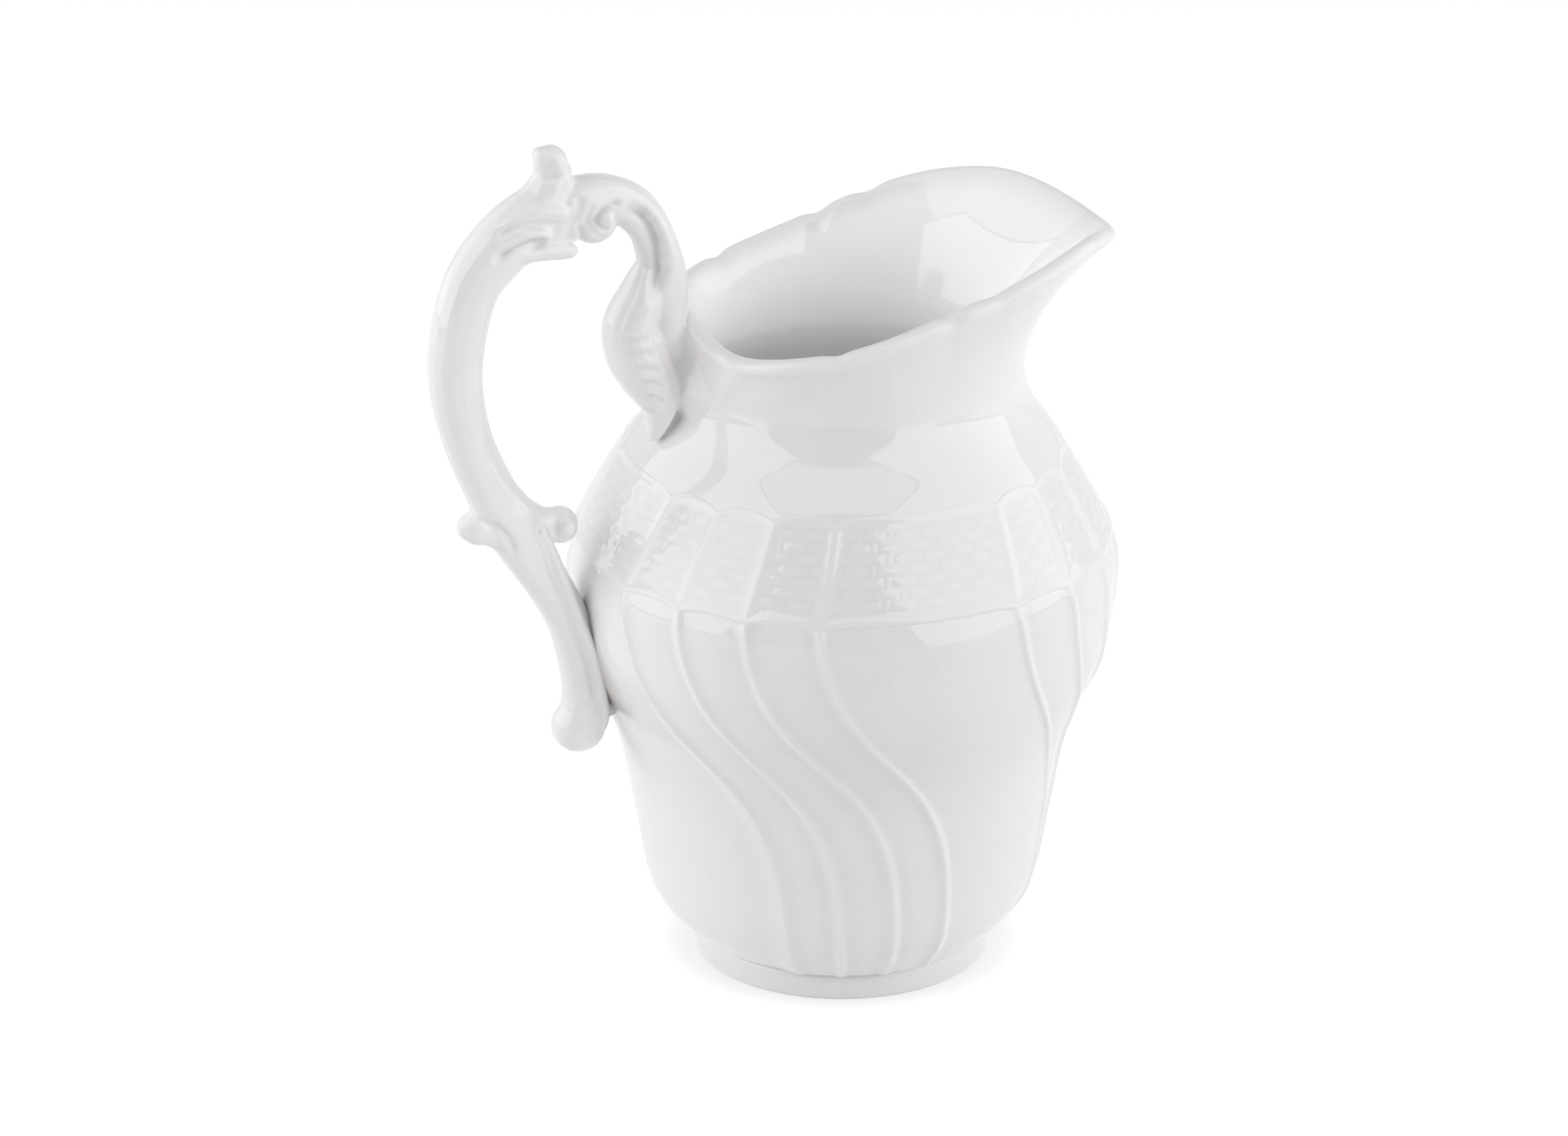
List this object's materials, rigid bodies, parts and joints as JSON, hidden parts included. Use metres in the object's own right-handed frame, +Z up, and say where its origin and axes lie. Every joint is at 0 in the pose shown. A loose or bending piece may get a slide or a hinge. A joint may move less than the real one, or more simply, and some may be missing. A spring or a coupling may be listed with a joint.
{
  "type": "milk jug",
  "caption": "White glazed milk jug: bellied body with a basket-weave shoulder band and swirling ribs, drawn pouring lip, scrolled leaf handle and low foot ring, for pouring milk.",
  "frame": {"origin": "under the middle of the whole jug's length and width, on the plane it stands on", "axes": "+Z up along the jug's axis, +X towards the pouring lip, -X towards the handle, +Y to the left seen from behind the handle"},
  "size_m": [0.1098, 0.0838, 0.1353],
  "materials": {
    "glazed_porcelain": "clear gloss glaze over white porcelain",
    "foot_porcelain": "gloss glaze, wiped off the edge it stands on",
    "slip": "glazed seam of slip"
  },
  "bodies": {
    "root": {"body": "glazed_porcelain", "handle_grip": "glazed_porcelain", "handle_crook": "glazed_porcelain", "handle_tail": "glazed_porcelain", "crook_seat_slip": "slip", "tail_seat_slip": "slip", "foot_seat_slip": "slip", "foot_ring": "foot_porcelain"}
  },
  "joints": []
}
